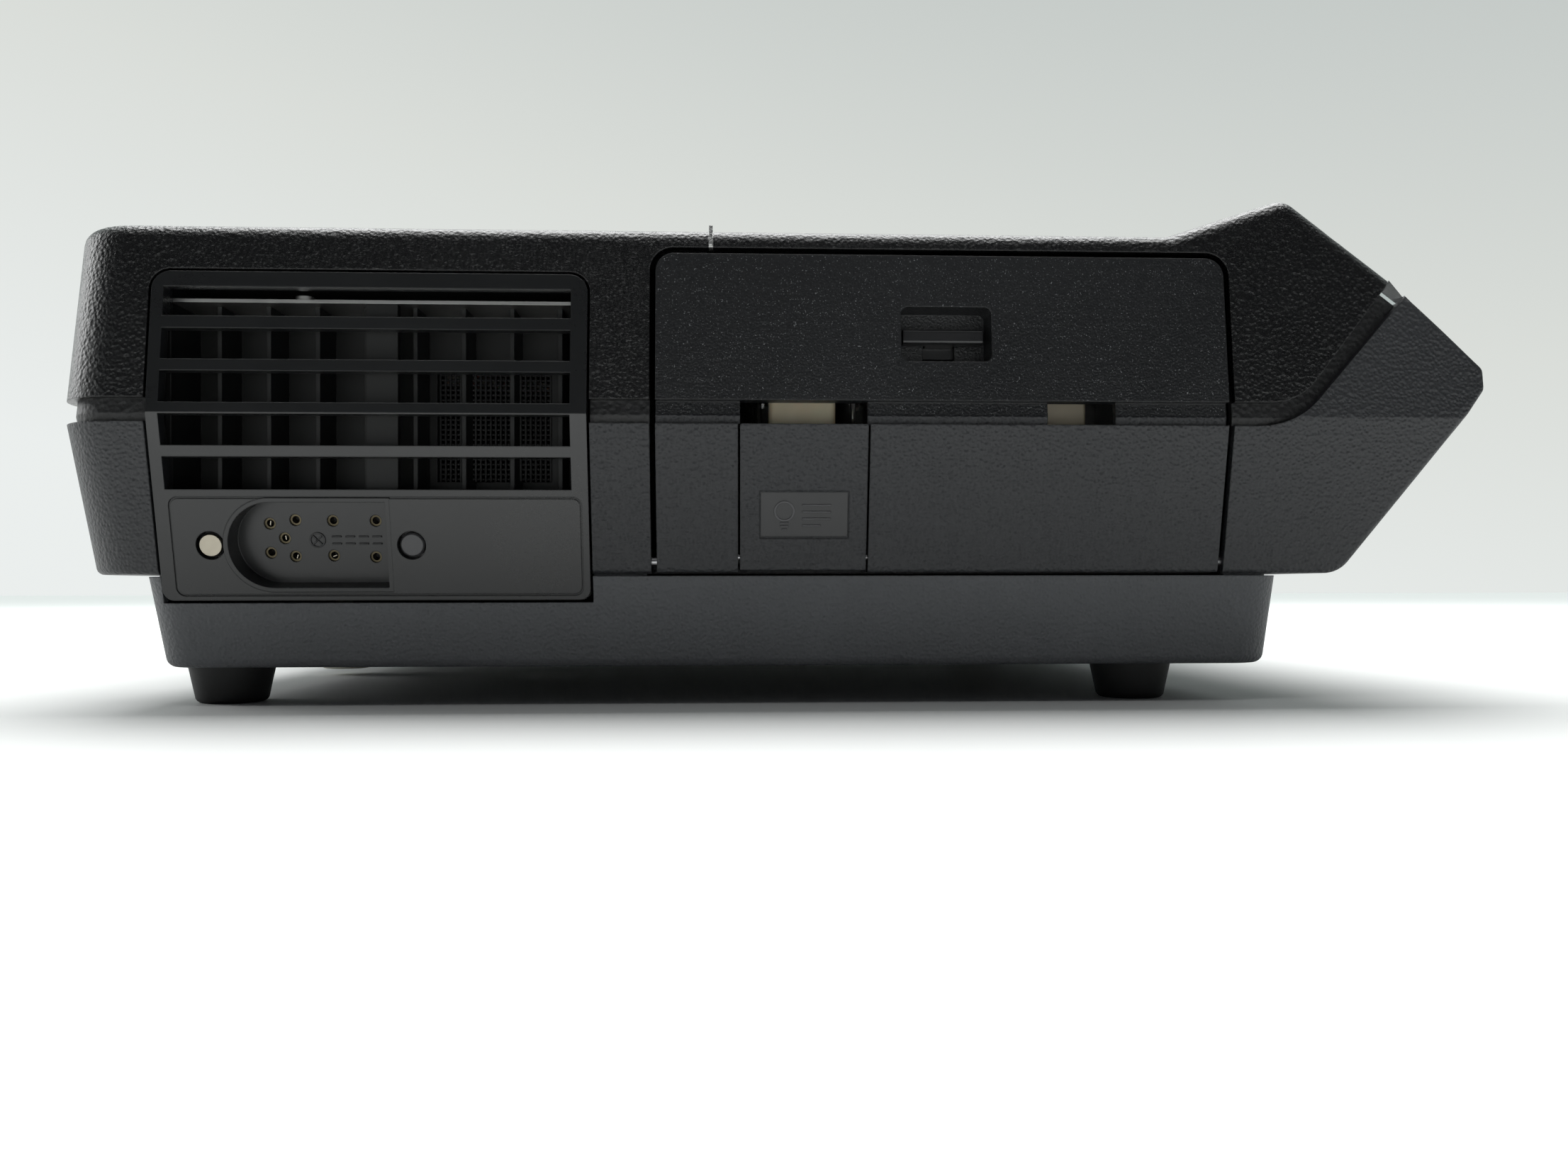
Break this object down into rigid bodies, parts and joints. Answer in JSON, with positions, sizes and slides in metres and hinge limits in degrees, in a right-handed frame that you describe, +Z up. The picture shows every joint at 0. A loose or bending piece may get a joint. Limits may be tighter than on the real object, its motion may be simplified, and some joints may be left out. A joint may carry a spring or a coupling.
{
  "type": "home slide projector",
  "caption": "Rotary-tray slide projector without its tray: grained two-part shell, lamp door, exhaust grille, sloping control panel, focusing lens and carry handle.",
  "frame": {"origin": "centre of the footprint, on the table plane", "axes": "+X towards the control end, -X towards the projected picture, -Y the lamp-door side, +Z up"},
  "size_m": [0.401, 0.298, 0.152],
  "materials": {
    "shell_upper": "leather grain, satin gloss",
    "shell_lower": "pebble grain, matte",
    "groove_band": "coarse texture",
    "grille": "smooth satin",
    "clear_acrylic": "clear, polished edges",
    "opal_plastic": "opal",
    "ceramic": "unglazed ceramic",
    "optical_glass": "polished",
    "mirror_coat": "polished",
    "sheet_steel": "bright sheet",
    "steel_pin": "turned",
    "rubber_foot": "matte",
    "black_paint": "satin",
    "panel_metal": "brushed",
    "key_plastic": "smooth",
    "white_nylon": "smooth",
    "winding": "varnished",
    "motor_steel": "painted",
    "board_green": "laminate",
    "contact_brass": "bright"
  },
  "bodies": {
    "projector": {"base_pan": "shell_lower", "base_screws": "steel_pin", "belt_band": "groove_band", "chassis_plate": "sheet_steel", "circuit_board": "board_green", "condenser_cradle": "black_paint", "condenser_lenses": "optical_glass", "control_board": "board_green", "control_panel": "panel_metal", "exhaust_duct": "sheet_steel", "exhaust_grille": "grille", "fan_scroll": "black_paint", "feet": "rubber_foot", "heat_glass": "optical_glass", "heat_shield": "sheet_steel", "hinge_pins": "steel_pin", "lamp_base": "ceramic", "lamp_capsule": "optical_glass", "lamp_carrier": "sheet_steel", "lamp_house": "sheet_steel", "lamp_pull": "ceramic", "lamp_reflector": "mirror_coat", "lamp_socket_insert": "grille", "lens_bezel": "grille", "lens_holder": "black_paint", "lower_shell": "shell_lower", "mains_inlet": "grille", "mechanism_posts": "sheet_steel", "motor_body": "motor_steel", "panel_light_bar": "clear_acrylic", "reading_light_diffuser": "opal_plastic", "remote_socket": "grille", "slide_gate": "black_paint", "socket_contacts": "contact_brass", "socket_posts": "contact_brass", "transformer": "winding", "tray_bed": "black_paint", "tray_spindle": "panel_metal", "upper_shell": "shell_upper"},
    "lamp_door": {"side_door": "shell_upper", "flap_pins": "steel_pin"},
    "latch": {"door_latch": "key_plastic"},
    "flap": {"reading_light_flap": "shell_lower"},
    "lens": {"lens_barrel": "black_paint", "lens_glasses": "optical_glass"},
    "focus_control": {"focus_wheel": "white_nylon"},
    "power_slider": {"power_switch": "key_plastic"},
    "timer": {"timer_knob": "key_plastic"},
    "select_key": {"select_bar": "key_plastic"},
    "reverse_key": {"reverse_button": "key_plastic"},
    "forward_key": {"forward_button": "key_plastic"},
    "rocker": {"focus_rocker": "key_plastic"},
    "elevation_nut": {"elevation_wheel": "white_nylon"},
    "elevation_leg": {"elevation_foot": "white_nylon"},
    "handle": {"carry_handle": "shell_upper"},
    "blower": {"motor_shaft": "steel_pin", "blower_wheel": "white_nylon"},
    "lifter": {"slide_lifter": "white_nylon"},
    "tang": {"drive_tang": "white_nylon"},
    "spindle_key": {"spindle_button": "key_plastic"}
  },
  "joints": [
    {"name": "door_hinge", "type": "hinge", "parent": "projector", "child": "lamp_door", "pos_m": [0, -0.1374, 0.0404], "axis": [1, 0, 0], "range_deg": [0, 62]},
    {"name": "latch_slide", "type": "slide", "parent": "lamp_door", "child": "latch", "axis": [0, 0, -1], "range_m": [0, 0.004], "stiffness_N_per_m": 150, "springref_m": -0.002},
    {"name": "flap_hinge", "type": "hinge", "parent": "lamp_door", "child": "flap", "pos_m": [0, -0.1384, 0.0416], "axis": [1, 0, 0], "range_deg": [0, 48]},
    {"name": "focus_turn", "type": "hinge", "parent": "projector", "child": "focus_control", "pos_m": [-0.165, -0.051, 0.0545], "axis": [0, 0, 1], "range_deg": [-86, 86]},
    {"name": "lens_slide", "type": "slide", "parent": "projector", "child": "lens", "axis": [1, 0, 0], "range_m": [-0.012, 0.012]},
    {"name": "power_slide", "type": "slide", "parent": "projector", "child": "power_slider", "axis": [0, 1, 0], "range_m": [0, 0.024]},
    {"name": "timer_turn", "type": "hinge", "parent": "projector", "child": "timer", "pos_m": [0.1625, -0.045, 0.1309], "axis": [0.628, 0, 0.7782], "range_deg": [0, 270]},
    {"name": "select_press", "type": "slide", "parent": "projector", "child": "select_key", "axis": [-0.628, 0, -0.7782], "range_m": [0, 0.0025], "stiffness_N_per_m": 300, "springref_m": -0.002},
    {"name": "reverse_press", "type": "slide", "parent": "projector", "child": "reverse_key", "axis": [-0.628, 0, -0.7782], "range_m": [0, 0.002], "stiffness_N_per_m": 250, "springref_m": -0.002},
    {"name": "forward_press", "type": "slide", "parent": "projector", "child": "forward_key", "axis": [-0.628, 0, -0.7782], "range_m": [0, 0.002], "stiffness_N_per_m": 250, "springref_m": -0.002},
    {"name": "rocker_tilt", "type": "hinge", "parent": "projector", "child": "rocker", "pos_m": [0.16062, 0.095, 0.12857], "axis": [-0.7782, 0, 0.628], "range_deg": [-6, 6], "stiffness_Nm_per_rad": 0.08},
    {"name": "elevation_turn", "type": "hinge", "parent": "projector", "child": "elevation_nut", "pos_m": [-0.158, 0, 0.017], "axis": [0, 0, 1], "range_deg": [0, 1801]},
    {"name": "elevation_slide", "type": "slide", "parent": "projector", "child": "elevation_leg", "axis": [0, 0, -1], "range_m": [0, 0.01]},
    {"name": "handle_swing", "type": "hinge", "parent": "projector", "child": "handle", "pos_m": [0, 0.139, 0.0975], "axis": [-1, 0, 0], "range_deg": [0, 90]},
    {"name": "blower_spin", "type": "hinge", "parent": "projector", "child": "blower", "pos_m": [0.062, -0.035, 0.084], "axis": [0, 1, 0], "continuous": true},
    {"name": "lifter_swing", "type": "hinge", "parent": "projector", "child": "lifter", "pos_m": [-0.0152, -0.03, 0.064], "axis": [-1, 0, 0], "range_deg": [0, 25], "stiffness_Nm_per_rad": 0.05, "springref_deg": -11.46},
    {"name": "tang_swing", "type": "hinge", "parent": "projector", "child": "tang", "pos_m": [-0.075, 0.03, 0.114], "axis": [0, 0, 1], "range_deg": [-5, 5], "stiffness_Nm_per_rad": 0.3},
    {"name": "spindle_press", "type": "slide", "parent": "projector", "child": "spindle_key", "axis": [0, 0, -1], "range_m": [0, 0.002], "stiffness_N_per_m": 200, "springref_m": -0.002}
  ],
  "couplings": [
    {"joint": "focus_turn", "follows": "lens_slide", "rad_per_m": 125},
    {"joint": "elevation_turn", "follows": "elevation_slide", "rad_per_m": 3141.6}
  ]
}
